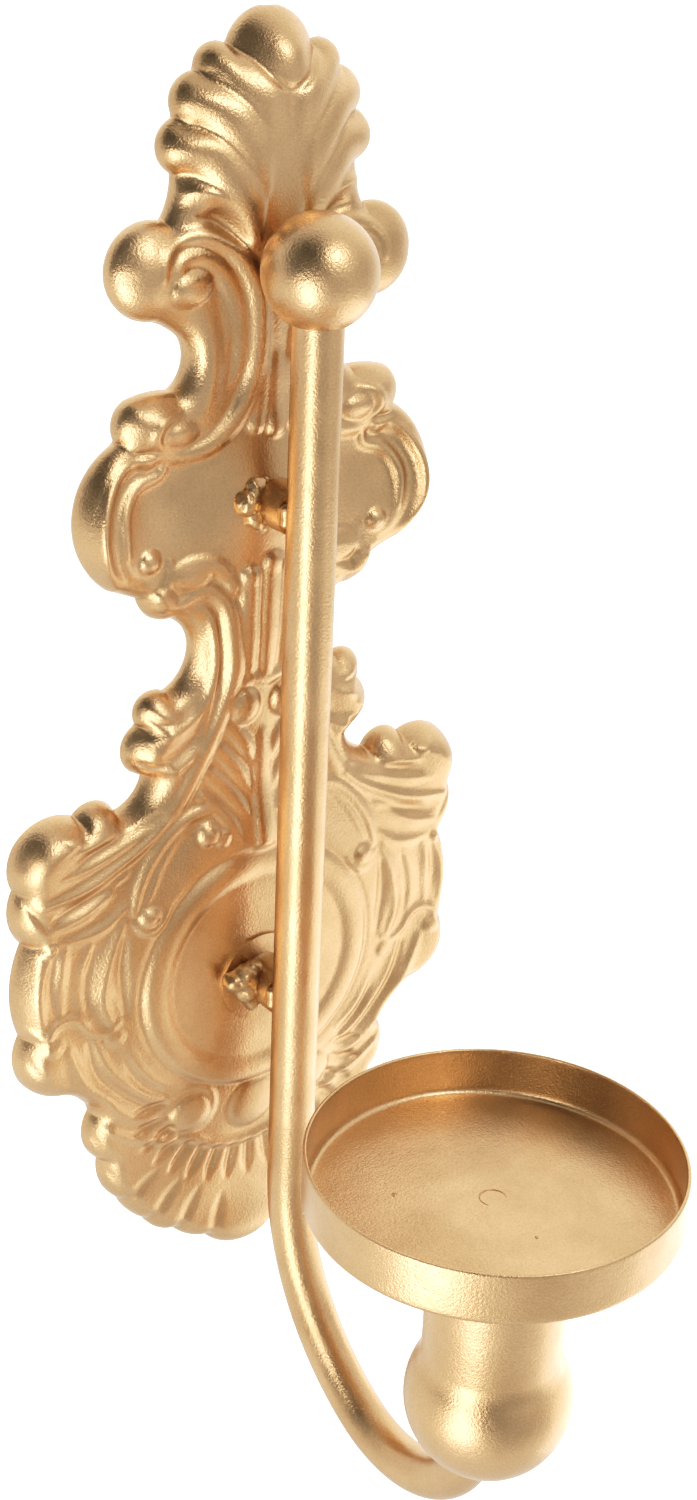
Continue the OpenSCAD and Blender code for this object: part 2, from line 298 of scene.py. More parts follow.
def develop_picture():
    """A soft photographic contrast, as a curve in the view settings."""
    settings = bpy.context.scene.view_settings
    settings.view_transform = "Standard"
    settings.use_curve_mapping = True
    mapping = settings.curve_mapping
    curve = mapping.curves[3]
    for place, value in DEVELOP:
        curve.points.new(place, value)
    mapping.update()


# ---- materials

# noise scales of the paint, from slow to fine: colour drift, scuffs, waves, dark specks, orange peel, flakes
DRIFT, SCUFFS, WAVES, SPECKS, PEEL, FLAKES = 45.0, 160.0, 260.0, 900.0, 2000.0, 2400.0


def metal_paint(name, light, dark, roughness, grain, coat):
    """Sprayed metallic paint: fine orange peel, slow colour drift and small scuffs, with painted shade that
    darkens the hollows.
    """
    material = bpy.data.materials.new(name)
    material.use_nodes = True
    n = Nodes(material.node_tree)
    place = n.add("ShaderNodeTexCoord").outputs["Object"]
    shader = n.add("ShaderNodeBsdfPrincipled")
    drift = n.ramp(n.noise(place, DRIFT, 4.0), ((0.35, 0.0), (0.65, 1.0)))
    colour = n.mix(drift, light, tuple(0.6 * a + 0.4 * b for a, b in zip(light, dark)))
    # painted shade: the base colour goes toward the dark colour by the hollow attribute, which the plate
    # stores for its hollows
    hollow = n.add("ShaderNodeAttribute", attribute_name="hollow").outputs["Fac"]
    colour = n.mix(hollow, colour, dark)
    specks = n.ramp(n.noise(place, SPECKS, 2.0), ((0.72, 0.0), (0.8, 0.35)))
    colour = n.mix(specks, colour, dark)
    flakes = n.ramp(n.noise(place, FLAKES, 2.0, 0.7), ((0.30, 0.84), (0.70, 1.0)))
    colour = n.mix(1.0, colour, flakes, "MULTIPLY")
    n.join(colour, shader.inputs["Base Color"])
    shader.inputs["Metallic"].default_value = 0.96
    patchy = n.noise(place, SCUFFS, 4.0)
    scuffs = n.ramp(patchy, ((0.3, roughness - 0.05), (0.7, roughness + 0.07)))
    n.join(scuffs, shader.inputs["Roughness"])
    shader.inputs["Coat Weight"].default_value = coat
    shader.inputs["Coat Roughness"].default_value = 0.22
    peel = n.noise(place, PEEL, 2.0)
    waves = n.noise(place, WAVES, 2.0)
    height = n.math("ADD", peel, n.math("MULTIPLY", waves, 0.7))
    bump = n.add("ShaderNodeBump")
    bump.inputs["Strength"].default_value = grain
    bump.inputs["Distance"].default_value = 0.1 * MM
    n.join(height, bump.inputs["Height"])
    n.join(bump.outputs[0], shader.inputs["Normal"])
    n.join(shader.outputs[0], n.add("ShaderNodeOutputMaterial").inputs["Surface"])
    return material


# name, light and dark colour, roughness, grain, coat
# the dark colours also serve as the painted shade in the plate's hollows
GOLD = metal_paint("gold_spray", (0.80, 0.540, 0.298), (0.50, 0.315, 0.14), 0.33, 0.9, 0.3)
WELD_GOLD = metal_paint("gold_over_weld", (0.74, 0.50, 0.26), (0.36, 0.22, 0.09), 0.33, 0.9, 0.3)
STEEL = metal_paint("strap_gold", (0.70, 0.48, 0.25), (0.30, 0.18, 0.08), 0.36, 0.8, 0.2)


# ---- mesh helpers


def new_piece(name, mesh, material, slot, *nodes, sharp=None):
    """Links a finished mesh as a piece on the one body, in place of its CAD nodes."""
    mesh.materials.append(material)
    mesh.polygons.foreach_set("use_smooth", [True] * len(mesh.polygons))
    if sharp is not None:
        mesh.set_sharp_from_angle(angle=math.radians(sharp))
    piece = bpy.data.objects.new(name, mesh)
    link(piece)
    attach(piece, "root")
    if nodes:
        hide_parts(*nodes)


def to_frame(points):
    """Drawing points in millimetres to frame points in metres."""
    moved = np.array(points, float)
    moved[:, 2] -= HANG_Z
    return moved * MM


def mesh_from(name, points, faces):
    mesh = bpy.data.meshes.new(name)
    mesh.from_pydata([tuple(p) for p in to_frame(points)], [], [tuple(f) for f in faces])
    mesh.validate()
    mesh.update()
    return mesh


def corner(centre, radius, start, end, steps=8):
    """Points on an arc of a profile, angles in degrees."""
    angles = np.radians(np.linspace(start, end, steps))
    return [(centre[0] + radius * math.cos(a), centre[1] + radius * math.sin(a)) for a in angles]


def wave_at(cx, cy, z):
    """Slow waves and small ones round a turned piece, for its unevenness."""
    slow = noise.noise((2.2 * cx, 2.2 * cy, 0.09 * z))
    small = noise.noise((7 * cx, 7 * cy, 0.3 * z))
    return slow + 0.4 * small


def lathe(name, profile, axis, segments=144, uneven=0.0):
    """A closed solid turned about a vertical axis from (radius, z) points that start and end on it."""
    points = []
    rings = []
    for radius, z in profile:
        if radius < 1e-6:
            rings.append([len(points)])
            points.append((axis[0], axis[1], z))
            continue
        ring = []
        for k in range(segments):
            angle = 2 * math.pi * k / segments
            cx, cy = math.cos(angle), math.sin(angle)
            wave = uneven * wave_at(cx, cy, z)
            ring.append(len(points))
            points.append((axis[0] + (radius + wave) * cx, axis[1] + (radius + wave) * cy, z + 0.6 * wave))
        rings.append(ring)
    faces = []
    for lower, upper in zip(rings, rings[1:]):
        for k in range(segments):
            after = (k + 1) % segments
            if len(lower) == 1:
                faces.append((lower[0], upper[after], upper[k]))
            elif len(upper) == 1:
                faces.append((lower[k], lower[after], upper[0]))
            else:
                faces.append((lower[k], lower[after], upper[after], upper[k]))
    return mesh_from(name, points, faces)


def sweep(name, path, radii, sides=48):
    """A round bar with flat ends, along a path that keeps its x or lies level."""
    path = np.array(path, float)
    tangent = np.gradient(path, axis=0)
    tangent /= np.linalg.norm(tangent, axis=1)[:, None]
    across = np.array((0.0, 0.0, 1.0) if np.ptp(path[:, 0]) > 0 else (1.0, 0.0, 0.0))
    points = []
    for centre, along, radius in zip(path, tangent, radii):
        other = np.cross(along, across)
        for k in range(sides):
            angle = 2 * math.pi * k / sides
            points.append(centre + radius * (math.cos(angle) * across + math.sin(angle) * other))
    faces = [tuple(range(sides - 1, -1, -1))]
    for ring in range(len(path) - 1):
        low = ring * sides
        for k in range(sides):
            after = (k + 1) % sides
            faces.append((low + k, low + after, low + sides + after, low + sides + k))
    last = (len(path) - 1) * sides
    faces.append(tuple(range(last, last + sides)))
    mesh = mesh_from(name, points, faces)
    outward(mesh)
    return mesh


def outward(mesh):
    """Turns every face of a closed mesh outward."""
    work = bmesh.new()
    work.from_mesh(mesh)
    bmesh.ops.recalc_face_normals(work, faces=work.faces)
    work.to_mesh(mesh)
    work.free()


def blobs(name, drops, voxel=0.28, rough=0.25):
    """Melted drops of weld: (x, y, z, radius) spheres run together, with a lumpy skin."""
    work = bmesh.new()
    for x, y, z, radius in drops:
        place = Matrix.Translation(Vector((x, y, z - HANG_Z)) * MM)
        bmesh.ops.create_icosphere(work, subdivisions=3, radius=radius * MM, matrix=place)
    mesh = bpy.data.meshes.new(name + "_drops")
    work.to_mesh(mesh)
    work.free()
    temporary = bpy.data.objects.new(name + "_drops", mesh)
    link(temporary)
    remesh = temporary.modifiers.new("run_together", "REMESH")
    remesh.mode = "VOXEL"
    remesh.voxel_size = voxel * MM
    soften = temporary.modifiers.new("soften", "SMOOTH")
    soften.iterations = 12
    bpy.context.view_layer.update()
    graph = bpy.context.evaluated_depsgraph_get()
    result = bpy.data.meshes.new_from_object(temporary.evaluated_get(graph))
    bpy.data.objects.remove(temporary)
    bpy.data.meshes.remove(mesh)
    result.name = name
    for vertex in result.vertices:
        lump = noise.noise(vertex.co / (2.0 * MM))
        vertex.co += vertex.normal * lump * rough * MM
    return result


# ---- plate outline

TOP = (0.0, 262.2)
BOTTOM = (0.0, -12.1)
# right half of the outline from top to bottom: each line is a notch and the crest of the lobe below it
EDGE = (
    ((2, 262), (6.2, 259.8)),
    ((8.8, 255.4), (12.6, 256)),
    ((15.6, 251.3), (19.4, 249.4)),
    ((20, 243.2), (23.4, 239.3)),
    ((20.4, 233.2), (20.8, 229.4)),
    ((22.6, 225.2), (34.3, 217.5)),
    ((25, 206.8), (21.5, 205.3)),
    ((18.6, 203), (17.6, 198.5)),
    ((20.7, 193.5), (26, 193.5)),
    ((30.2, 192.5), (33, 188)),
    ((32.4, 184.6), (41.6, 170)),
    ((34.4, 155.6), (31, 154.2)),
    ((27.8, 152.8), (25, 148.4)),
    ((20.5, 147.4), (15.5, 140.2)),
    ((20.6, 131.4), (27.3, 129.2)),
    ((27, 124.9), (30.2, 120)),
    ((25.2, 113.4), (27.4, 108.8)),
    ((31.4, 106.4), (36.4, 110)),
    ((41, 107.8), (53.6, 105)),
    ((54.9, 94.4), (56.1, 88.4)),
    ((53.4, 82), (56.1, 71)),
    ((54.4, 60.4), (55.2, 50.8)),
    ((47.5, 43.8), (43.8, 42.6)),
    ((40.2, 39.6), (38.7, 37.8)),
    ((38.3, 36), (39.8, 30)),
    ((36.2, 23.2), (35.8, 17.5)),
    ((31.5, 11), (28.9, 6.6)),
    ((25, 3.2), (21.8, -0.6)),
    ((18, -1.8), (14.2, -5.4)),
    ((9.5, -6.9), (5, -11)),
)
EDGE_END = (2.0, -11.9)
EDGE_STEP = 0.45


def arc_points(a, b, c):
    """Points from a to just before c on the circle through a, b and c."""
    (ax, ay), (bx, by), (cx, cy) = a, b, c
    d = 2 * (ax * (by - cy) + bx * (cy - ay) + cx * (ay - by))
    ux = ((ax**2 + ay**2) * (by - cy) + (bx**2 + by**2) * (cy - ay) + (cx**2 + cy**2) * (ay - by)) / d
    uy = ((ax**2 + ay**2) * (cx - bx) + (bx**2 + by**2) * (ax - cx) + (cx**2 + cy**2) * (bx - ax)) / d
    radius = math.hypot(ax - ux, ay - uy)
    start = math.atan2(ay - uy, ax - ux)
    middle = math.atan2(by - uy, bx - ux)
    end = math.atan2(cy - uy, cx - ux)
    sweep_left = (end - start) % (2 * math.pi)
    if (middle - start) % (2 * math.pi) > sweep_left:
        sweep_left -= 2 * math.pi
    steps = max(2, round(abs(sweep_left) * radius / EDGE_STEP))
    angles = [start + sweep_left * k / steps for k in range(steps)]
    return [(ux + radius * math.cos(t), uy + radius * math.sin(t)) for t in angles]


def half_outline():
    """An arc from each notch over its crest to the next notch."""
    points = []
    for k, (notch, crest) in enumerate(EDGE):
        following = EDGE[k + 1][0] if k + 1 < len(EDGE) else EDGE_END
        points += arc_points(notch, crest, following)
    points.append(EDGE_END)
    return np.array(points)


HALF = half_outline()
HALF_CLOSED = np.vstack((TOP, HALF, BOTTOM))


def edge_distance(x, z):
    """Distance of each point from the outline, by its right half."""
    x = np.abs(np.asarray(x, np.float32))
    z = np.asarray(z, np.float32)
    corners = HALF_CLOSED.astype(np.float32)
    best = np.full(x.shape, 1e9, np.float32)
    for (ax, az), (bx, bz) in zip(corners, corners[1:]):
        dx, dz = bx - ax, bz - az
        t = np.clip(((x - ax) * dx + (z - az) * dz) / (dx * dx + dz * dz), 0, 1)
        best = np.minimum(best, (x - ax - t * dx) ** 2 + (z - az - t * dz) ** 2)
    return np.sqrt(best)


# ---- plate relief: strokes on a height field

CELL = 0.25  # size of the height field's cells
TAPER = 0.45  # share of a stroke's length over which it narrows towards each end
GRID_X = np.arange(0.0, 58.5, CELL)
GRID_Z = np.arange(-13.0, 264.0, CELL)
FIELD_X, FIELD_Z = np.meshgrid(GRID_X, GRID_Z)


def curve_through(points, step=0.8):
    """A smooth curve through given points."""
    p = np.array(points, float)
    if len(p) == 2:
        count = max(2, int(np.linalg.norm(p[1] - p[0]) / step))
        return np.linspace(p[0], p[1], count + 1)
    p = np.vstack((2 * p[0] - p[1], p, 2 * p[-1] - p[-2]))
    out = []
    for a, b, c, d in zip(p, p[1:], p[2:], p[3:]):
        count = max(1, int(np.linalg.norm(c - b) / step))
        for t in np.arange(count) / count:
            first = (c - a) * t
            second = (2 * a - 5 * b + 4 * c - d) * t**2
            third = (3 * b - a - 3 * c + d) * t**3
            out.append(0.5 * (2 * b + first + second + third))
    out.append(p[-2])
    return np.array(out)


def cells(low, high, origin):
    """The field's cells along one axis from low to high."""
    first = max(0, int((low - origin) / CELL))
    last = max(0, int((high - origin) / CELL) + 2)
    return slice(first, last)


def stroke(points, width, ends):
    """A stroke's window of the field, how far in each cell is (1 on the line, 0 at the edge) and its size."""
    line = curve_through(points)
    low = line.min(0) - width
    high = line.max(0) + width
    xs = cells(low[0], high[0], GRID_X[0])
    zs = cells(low[1], high[1], GRID_Z[0])
    x, z = FIELD_X[zs, xs], FIELD_Z[zs, xs]
    best = np.full(x.shape, 1e9)
    along = np.zeros(x.shape)
    lengths = np.concatenate(((0.0,), np.cumsum(np.linalg.norm(np.diff(line, axis=0), axis=1))))
    total = lengths[-1]
    for k, (a, b) in enumerate(zip(line, line[1:])):
        d = b - a
        t = np.clip(((x - a[0]) * d[0] + (z - a[1]) * d[1]) / (d @ d), 0, 1)
        far = (x - a[0] - t * d[0]) ** 2 + (z - a[1] - t * d[1]) ** 2
        closer = far < best
        best = np.where(closer, far, best)
        along = np.where(closer, (lengths[k] + t * (lengths[k + 1] - lengths[k])) / total, along)
    first = ends[0] + (1 - ends[0]) * np.sin(np.clip(along / TAPER, 0, 1) * math.pi / 2)
    last = ends[1] + (1 - ends[1]) * np.sin(np.clip((1 - along) / TAPER, 0, 1) * math.pi / 2)
    size = np.minimum(first, last)
    return zs, xs, np.clip(1 - np.sqrt(best) / (width * size), 0, 1), size


def ridge(layer, height, width, ends, points):
    """A rounded ridge: circular section, so it meets the ground in a crease."""
    zs, xs, depth, size = stroke(points, width, ends)
    layer[zs, xs] = np.maximum(layer[zs, xs], height * size * np.sqrt(1 - (1 - depth) ** 2))


def crest(layer, height, width, ends, points):
    """A fold's crest: sharp on its line, with hollow flanks like draped cloth."""
    zs, xs, depth, size = stroke(points, width, ends)
    layer[zs, xs] = np.maximum(layer[zs, xs], height * size * depth**1.7)


def soft(layer, height, width, ends, points):
    """A soft swell or hollow: it runs out into the ground without a crease."""
    zs, xs, depth, size = stroke(points, width, ends)
    layer[zs, xs] = np.maximum(layer[zs, xs], height * size * (depth * depth * (3 - 2 * depth)))


def dome(layer, height, x, z, rx, rz, tilt):
    """A half ellipsoid that stands on the ground."""
    c, s = math.cos(math.radians(tilt)), math.sin(math.radians(tilt))
    dx, dz = FIELD_X - x, FIELD_Z - z
    u = (dx * c + dz * s) / rx
    v = (dz * c - dx * s) / rz
    inside = np.clip(1 - u * u - v * v, 0, 1)
    layer[:] = np.maximum(layer, height * np.sqrt(inside))


def swell(x, z, rx, rz, height):
    """A wide soft rise of the ground, or a dip."""
    across = ((FIELD_X - x) ** 2) / (2 * rx * rx)
    upright = ((FIELD_Z - z) ** 2) / (2 * rz * rz)
    return height * np.exp(-across - upright)


# ---- plate relief: the ornament

# rounded ridges: height, half-width, share of the size that is left at each end, points of the right half
RIDGES = (
    # palmette fingers
    (1.9, 4, (0.9, 0.3), ((15.5, 253.6), (11.5, 252.4), (8.2, 249.6), (5.6, 246), (4, 241.5), (3.2, 236))),
    (2.5, 4.2, (0.9, 0.3), ((19.5, 246.4), (15.5, 246.2), (12, 244), (9, 240.5), (6.8, 236), (5.2, 229))),
    (2.5, 4, (0.9, 0.3), ((21.5, 238), (17, 237.6), (13.5, 235.6), (10.5, 232.5), (8, 228), (6, 221.5))),
    # upper volute
    (1.5, 2.2, (0.3, 0.6), ((25.4, 215.6), (24.4, 219.6), (21, 222.4), (16, 222.5), (10, 219.5), (6, 213),
        (4.5, 205), (4.5, 197), (6.5, 190.5), (10.5, 185.5), (15.5, 182.2), (21.5, 181.2), (25.5, 182))),
    (1.1, 2.2, (0.5, 0.3), ((22, 216.6), (20, 218.8), (16, 218.6), (12, 215.6), (9.6, 211.4), (8.2, 206),
        (7.8, 199), (9.5, 194))),
    (1, 1.2, (0.4, 0.4), ((20.5, 190.2), (24.8, 189), (26.3, 185.6), (23.5, 182.8), (19, 182.4))),
    # drop leaves between the volutes
    (1.5, 2.5, (1, 0.2), ((0, 185.6), (0, 190), (0, 200))),
    (1.3, 2, (1, 0.2), ((4.4, 186.3), (3.6, 190), (2.4, 200))),
    (1.2, 1.8, (1, 0.2), ((7.8, 188.3), (6, 192), (4.2, 200))),
    # mid panel's curled frame
    (1.3, 1.2, (0.5, 0.5), ((27.6, 182), (33.5, 179), (37.6, 172.5), (38.2, 164.5), (35.4, 157.4),
        (31, 153.6), (25.6, 153.4), (22.6, 156.5), (22.6, 161))),
    (1.3, 1.3, (0.7, 0.5), ((23.2, 180), (24.2, 177.6), (29, 175.8), (32.2, 171), (32.2, 163.5))),
    # s-scroll, from its head under the panel down to the lower scroll
    (1.3, 2, (0.4, 0.5), ((24, 154.5), (22, 157.5), (18, 159.2), (13, 158.5), (10, 155.5), (8.5, 152))),
    (1.7, 2.4, (0.4, 0.5), ((21.4, 150.8), (15.4, 153.4), (11.9, 151.9), (9.4, 148), (8.4, 141), (8, 135),
        (9.6, 129), (12, 122), (15.8, 114), (20.4, 106.2), (26.4, 101.2))),
    (1, 1.4, (0.4, 0.3), ((15.4, 149.8), (13.3, 147.5), (12.2, 142), (12, 136), (13, 128), (14.6, 121),
        (17.6, 114.5))),
    # central flutes, their arch and the buds below
    (1.3, 2.4, (1, 0.6), ((0, 157.5), (0, 145), (0, 133.5))),
    (1.3, 2.3, (1, 0.6), ((5.2, 155), (5, 145), (4.4, 134.5))),
    (0.9, 1.3, (1, 0.5), ((0, 131.8), (4, 132.6), (8, 130.2))),
    (1.2, 1.9, (0.9, 0.3), ((8.4, 122.6), (5.2, 119.2), (2.3, 113.4))),
    (1.2, 1.9, (0.9, 0.3), ((10.4, 117.6), (6.8, 113.2), (2.6, 106.4))),
    (1.2, 1.9, (0.9, 0.3), ((12.4, 112.6), (8.6, 108.4), (3.6, 101.6))),
    (1.1, 1.7, (0.9, 0.3), ((14, 107.6), (10, 103.6), (5.2, 96.5))),
    (1.2, 2.4, (0.4, 0.9), ((0, 120), (0, 105), (0, 92))),
    # lower scroll
    (1.5, 1.5, (0.4, 0.5), ((8.3, 98), (8.8, 102.2), (11.8, 104.6), (15.6, 104.3), (20.6, 102.3),
        (25.6, 97.4), (29.2, 91.3), (30.8, 85.6))),
    (1, 1.1, (0.4, 0.4), ((22.8, 84.4), (24.8, 81.6), (28.6, 81), (31.4, 84))),
)

# draped folds with sharp crests, in the same columns
CRESTS = (
    # thin inner line of the volute and of the lower scroll
    (0.7, 1.1, (0.3, 0.4), ((12.6, 211.6), (11.2, 207.6), (10.4, 203.5), (10.9, 198))),
    (1, 1.8, (0.3, 0.4), ((15.4, 102), (20.2, 99.8), (24.2, 95), (27.2, 89), (28.8, 85.6))),
    # last leaf of the palmette over the volute
    (1.9, 3.2, (0.8, 0.4), ((21, 230.4), (16, 230.6), (11.6, 228.8), (8.4, 225.2), (6.4, 220.6))),
    # leaves of the s-scroll
    (1.3, 2.6, (0.3, 0.4), ((11.9, 134), (13.4, 130), (16.6, 126.2), (21.4, 123.9), (26, 122.6))),
    (1.3, 2.6, (0.3, 0.4), ((12.6, 123), (16, 118.6), (21, 115.8), (26, 115.2))),
    # fan of ribs out to the side lobe
    (2, 2.6, (0.9, 0.6), ((22.4, 104.6), (26.4, 101.2), (33.4, 97.2), (41.4, 93.8), (51, 92.2))),
    (1.3, 2.2, (0.4, 0.4), ((24, 106.6), (30, 104.8), (38, 103.4), (46, 103.6))),
    (1.3, 2.2, (0.4, 0.4), ((25.5, 103.8), (33, 100.8), (41, 98.4), (47, 97.6))),
    (1.6, 2.6, (0.4, 0.4), ((31.5, 95), (37, 91), (42.5, 87.8), (49, 86))),
    (1.3, 2.4, (0.4, 0.4), ((32.5, 87.5), (37, 84), (42, 82.6), (47, 82.6))),
    # pleats round the medallion and the hem across them
    (1.7, 3, (0.5, 0.5), ((33.4, 84), (36.6, 76), (38, 67), (35.8, 60))),
    (1.2, 2.8, (0.5, 0.5), ((40.4, 81), (42.2, 75), (42.8, 69), (41.6, 63))),
    (1.2, 2.8, (0.5, 0.5), ((46, 81.4), (47.6, 75), (48.2, 69), (47.4, 64))),
    (1.3, 2.4, (0.5, 0.5), ((51.4, 81), (52.4, 76), (52.6, 70), (51.8, 63))),
    (1.5, 1.8, (0.7, 0.7), ((57, 64.9), (53.5, 62.6), (50.8, 61.4), (49.2, 63.5), (46, 64.4), (43.2, 63.4),
        (41, 60.4), (37.5, 58.8), (34.6, 60.6))),
    (1.7, 3.4, (0.5, 0.4), ((46, 57), (42, 47), (36, 39.5), (29, 34), (22, 31.6))),
    (1.4, 3, (0.5, 0.4), ((40, 58), (37, 50), (32, 43.5), (26, 38.6), (20.5, 36.4))),
    (1.2, 2.6, (0.5, 0.4), ((34, 57), (31.4, 50.5), (27.4, 45), (22.5, 41))),
    # foot: double band under the pleats and round the bulb
    (1.7, 2.2, (0.5, 0.9), ((38.5, 34.8), (31.5, 29.8), (26.4, 27.3), (21.4, 25.2), (15.4, 24.2),
        (10.4, 20.8), (5, 18.9), (0, 18.3))),
    (1.1, 1.6, (0.3, 0.3), ((21.5, 36.8), (16, 38), (12, 36.2), (10.7, 31.5), (12.6, 27.2), (17.4, 25.6),
        (22, 27))),
)

# narrow cuts under the knob, between the edge's lobes and in the foot's shell: depth, then the same columns
GROOVES = (
    (1.3, 0.8, (0.6, 1), ((9.6, 256), (6.6, 253.2), (3.6, 249.8), (0, 248.2))),
    (1.5, 1, (0.6, 0.3), ((30.5, 183), (27.5, 182.6), (24.5, 182.6))),
    (0.9, 1, (0.6, 0.3), ((30, 181.2), (33.2, 177.7), (36.3, 172.5))),
    (1.4, 1.2, (0.7, 0.4), ((27.4, 128.4), (24, 126.4), (20.4, 126))),
    (1.2, 1.1, (0.7, 0.4), ((28.6, 118.2), (25.4, 117), (22, 117.2))),
    (1.2, 1.1, (0.7, 0.3), ((39.6, 107.4), (42, 104.4), (46, 103))),
    (1.4, 1.1, (0.7, 0.3), ((54.6, 93.6), (51.6, 89), (50, 86))),
    (1.3, 1.1, (0.7, 0.3), ((52.6, 81.6), (50.4, 82.6), (48, 83))),
    (1, 0.9, (0.7, 0.4), ((55.5, 58.6), (53.8, 55), (51.8, 51.6))),
    (1.2, 1.1, (0.7, 0.3), ((41, 36.6), (38.8, 31), (37.2, 26.6))),
    (1, 1, (0.7, 0.3), ((38.4, 24.6), (35.6, 21.4), (33.4, 17.6))),
    (0.8, 2.3, (0.9, 0.3), ((32, 11.6), (27.6, 15.6), (23.6, 18.6))),
    (0.8, 2.3, (0.9, 0.3), ((25.4, 4), (21.8, 9.4), (18.2, 13.8))),
    (0.8, 2.3, (0.9, 0.3), ((18.2, -1), (15.6, 4.6), (13, 9.6))),
    (0.8, 2.3, (0.9, 0.3), ((9.6, -6), (8.2, -0.4), (6.8, 5.6))),
)

# wide troughs along the leaves and between the folds, in the same columns
HOLLOWS = (
    (1.6, 3.2, (0.5, 0.6), ((16.6, 226), (12.6, 225), (8.6, 221.6))),
    (1, 5.2, (0.2, 0.7), ((0, 247), (0, 236), (0, 225))),
    (1.2, 2.6, (0.5, 0.5), ((27.6, 180), (32.4, 176.8), (35.2, 171.5), (35.2, 164.5), (32.6, 158.6),
        (28.6, 156.6))),
    (1, 1.6, (0.4, 0.4), ((14.6, 151.6), (11.6, 148.5), (10.4, 141), (10.2, 134), (11.8, 127),
        (14.8, 119))),
    (0.8, 2.8, (0.4, 0.4), ((15, 130), (18.5, 126.5), (23, 125.4))),
    (0.9, 2.8, (0.4, 0.4), ((16, 122), (20, 119.4), (25, 119))),
    (1.2, 2.6, (0.4, 0.4), ((29.4, 106), (35.4, 102.7), (43.4, 99.8))),
    (1.2, 2.4, (0.4, 0.4), ((33, 93), (40, 90.8), (48, 88.8))),
    (1.3, 2.4, (0.5, 0.5), ((33, 80), (33.6, 73), (32.8, 62))),
    (1.1, 2.6, (0.5, 0.5), ((39.8, 79), (42, 72), (41.6, 64))),
    (1.1, 2.4, (0.5, 0.5), ((48.6, 80), (49, 73), (48.4, 66))),
    (1.2, 2.4, (0.5, 0.5), ((41, 57), (38.6, 48.6), (33.4, 42), (26.8, 36.4))),
    (1, 2, (0.5, 0.5), ((33.4, 56), (31.4, 48.6), (28, 42.4), (22.8, 38.4))),
)

# bosses and buds: height, x, z, half-width, half-height, tilt
DOMES = (
    (2, 18.8, 213.4, 4.8, 3.4, -12),
    (1.6, 20.6, 185.6, 3.6, 2.5, -8),
    (1.2, 0, 185.8, 2.4, 2.6, 0),
    (1.4, 27.2, 181, 1.9, 1.9, 0),
    (1.9, 27.1, 161.3, 2.3, 2.3, 0),
    (1.7, 17.9, 156.6, 4.3, 2.6, 0),
    (1.4, 24, 152.4, 3, 3, 0),
    (0.8, 0, 157.8, 2.2, 2, 0),
    (0.9, 5.2, 155.2, 2.2, 2, 0),
    (0.9, 8.9, 153.6, 1.6, 1.6, 0),
    (2.6, 5, 126.6, 3.6, 4.2, 0),
    (2.2, 12.9, 99.2, 2.5, 2.6, 0),
    (1.4, 9.8, 97.6, 1.8, 2, 0),
    (1.9, 27.6, 84, 2.5, 2.2, 0),
    (1.2, 49.6, 59, 2.4, 1.8, 0),
    (1.2, 35.4, 57, 2.4, 2.2, 0),
    (1.6, 49.8, 82, 1.6, 1.6, 0),
    (1.2, 44, 105.2, 3.2, 1.3, 28),
    (2.4, 16.3, 31.2, 5, 5, 0),
    (2, 0, 28.5, 6.4, 6.6, 0),
)

# wide rises and dips of the ground: x, z, reach in x, reach in z, height
SWELLS = (
    (0, 238, 10.5, 15, 3.8),
    (0, 222, 4.2, 18, 1.5),
    (0, 206, 6, 12, 1.8),
    (0, 255, 6.5, 6, 3.2),
    (27, 216, 7, 7, 2.2),
    (15.5, 199, 3, 8, 1.6),
    (26, 189, 5, 4, 2),
    (38, 168, 4.5, 9, 2.6),
    (0, 172, 12, 10, 3),
    (25, 175, 8, 6, -2.2),
    (0, 145, 8, 20, 2.2),
    (24, 121, 5, 8, 1.6),
    (13, 92, 6, 5, -0.8),
    (50, 102, 5, 5, 1.6),
    (41.5, 107, 4, 3, 1),
    (50, 55, 5, 5, 1.2),
    (0, -5, 8, 4, 1.6),
    (0, 100, 4, 16, 1),
)

RING_MIDDLE = 64.4
RING_INNER = 22.3
RING_OUTER = 28.6
RING_LEVEL = 9.8
FLOOR_LEVEL = 9.3
FLUTE_CENTRE = 39.5  # height of the point the foot's short flutes aim at
FLUTE_STEP = math.radians(10.2)
FLUTE_REACH = (23.6, 31.6)  # from the point they aim at to each end of a flute

# by height on the plate: width of the rolled border and how round it is (1 a bevel, 2 a quarter round), the
# level of its widest line and of the face, and the strength of the relief
ROLL_WIDTHS = (
    (-12, 4.5), (60, 4.6), (75, 4.4), (95, 5), (105, 5.6), (112, 5.4), (118, 5.2), (128, 5.2), (136, 5),
    (146, 4.2), (158, 3.2), (180, 3.2), (187, 6.5), (192, 6.5), (199, 5), (205, 5.4), (211, 6.6), (216, 8.8),
    (224, 7.5), (229, 6), (236, 10), (250, 10.5), (262, 9.5),
)
ROLL_SHAPES = (
    (-12, 2), (60, 1.8), (75, 1.5), (100, 1.9), (112, 1.5), (130, 1.5), (150, 1.7), (158, 1.45), (178, 1.45),
    (186, 2), (262, 2),
)
RIM_LEVELS = ((-12, 0.5), (104, 0.5), (145, 3.9), (262, 4.2))
GROUND_LEVELS = ((-12, 6.3), (60, 6.3), (120, 7.0), (150, 7.8), (262, 7.8))
RELIEF_SHARES = ((-12, 0.66), (60, 0.58), (104, 0.62), (120, 0.74), (205, 0.8), (228, 0.96), (262, 0.96))
TUCK = 0.62  # how far the border tucks in behind its widest line, for each millimetre back to the wall


def by_height(levels, z):
    """The value at each height, from a list of (height, value)."""
    heights, values = zip(*levels)
    return np.interp(z, heights, values)


def foot_flutes(layer):
    """Short grooves that fan out under the double band."""
    for k in range(9):
        angle = k * FLUTE_STEP
        points = [(r * math.sin(angle), FLUTE_CENTRE - 0.96 * r * math.cos(angle)) for r in FLUTE_REACH]
        soft(layer, 1.4, 1.8, (0.9, 0.5), points)


